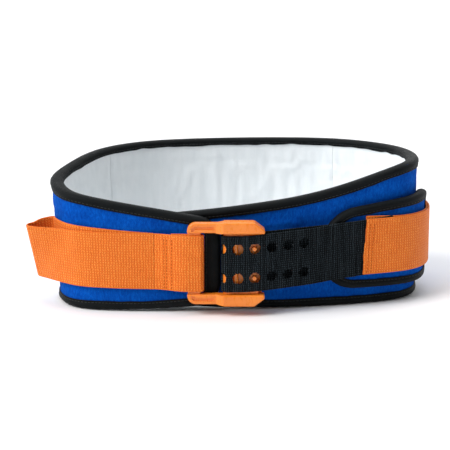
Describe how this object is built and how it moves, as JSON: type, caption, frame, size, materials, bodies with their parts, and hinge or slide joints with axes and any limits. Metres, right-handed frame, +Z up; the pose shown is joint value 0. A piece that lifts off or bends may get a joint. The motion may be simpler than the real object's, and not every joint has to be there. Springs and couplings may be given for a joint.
{
  "type": "padded transfer belt",
  "caption": "Padded waist belt with a quilted lining, a webbing hand loop, a self-adjusting front buckle on a perforated strap, and a pull tab on a side pad.",
  "frame": {"origin": "centre of the belt's bounding box, on the plane its lower edge stands on", "axes": "+X to the right seen from the buckle side, +Y to the back of the waist opening, +Z up along the wearer's trunk"},
  "size_m": [0.366, 0.216, 0.1257],
  "materials": {
    "blue_fabric": "brushed loop-pile knit",
    "white_lining": "soft quilted non-slip lining",
    "black_binding": "folded woven binding tape",
    "padding_foam": "closed foam padding, hidden",
    "orange_webbing": "woven webbing",
    "black_webbing": "woven webbing with punched holes",
    "hook_tape": "hook fastener tape",
    "orange_thread": "sewing thread",
    "orange_plastic": "satin moulded plastic",
    "spring_steel": "bright wire"
  },
  "bodies": {
    "belt": {"outer_cover": "blue_fabric", "foam_core": "padding_foam", "lining_left": "white_lining", "lining_back": "white_lining", "lining_right": "white_lining", "edge_binding_lower": "black_binding", "edge_binding_upper": "black_binding", "closure_hook": "hook_tape", "pad_foam": "padding_foam", "pad_cover": "blue_fabric", "pad_backing": "blue_fabric", "pad_binding": "black_binding", "pad_hook": "hook_tape", "handle_webbing": "orange_webbing", "bar_loop": "orange_webbing", "bar_loop_stitches": "orange_thread", "hole_strap": "black_webbing"},
    "buckle": {"buckle_frame": "orange_plastic", "spring_cover_upper": "orange_plastic", "spring_cover_lower": "orange_plastic", "spring_upper": "spring_steel", "spring_lower": "spring_steel"},
    "strap_bar": {"strap_bar": "orange_plastic", "pivot_pin": "spring_steel"},
    "prongs": {"prong_plate": "orange_plastic"},
    "pull_tab": {"pull_tab": "orange_webbing", "tab_hook": "hook_tape", "tab_stitches": "orange_thread"}
  },
  "joints": [
    {"name": "buckle_swing", "type": "hinge", "parent": "belt", "child": "buckle", "pos_m": [-0.03296, -0.09899, 0.0462], "axis": [0, 0, -1], "range_deg": [0, 12], "deforming": ["bar_loop", "hole_strap", "bar_loop_stitches"]},
    {"name": "strap_bar_travel", "type": "slide", "parent": "buckle", "child": "strap_bar", "axis": [1, 0, 0], "range_m": [0, 0.005], "stiffness_N_per_m": 600, "springref_m": -0.003, "deforming": ["spring_upper", "spring_lower", "hole_strap"]},
    {"name": "prong_rise", "type": "hinge", "parent": "strap_bar", "child": "prongs", "pos_m": [0.00309, -0.10009, 0.0462], "axis": [0, 0, -1], "range_deg": [0, 12], "deforming": ["hole_strap"]},
    {"name": "tab_peel", "type": "hinge", "parent": "belt", "child": "pull_tab", "pos_m": [0.11549, -0.07496, 0.055], "axis": [0, 0, -1], "range_deg": [0, 60], "deforming": ["hole_strap"]}
  ],
  "couplings": [
    {"joint": "prong_rise", "follows": "strap_bar_travel", "rad_per_m": 41.888}
  ]
}
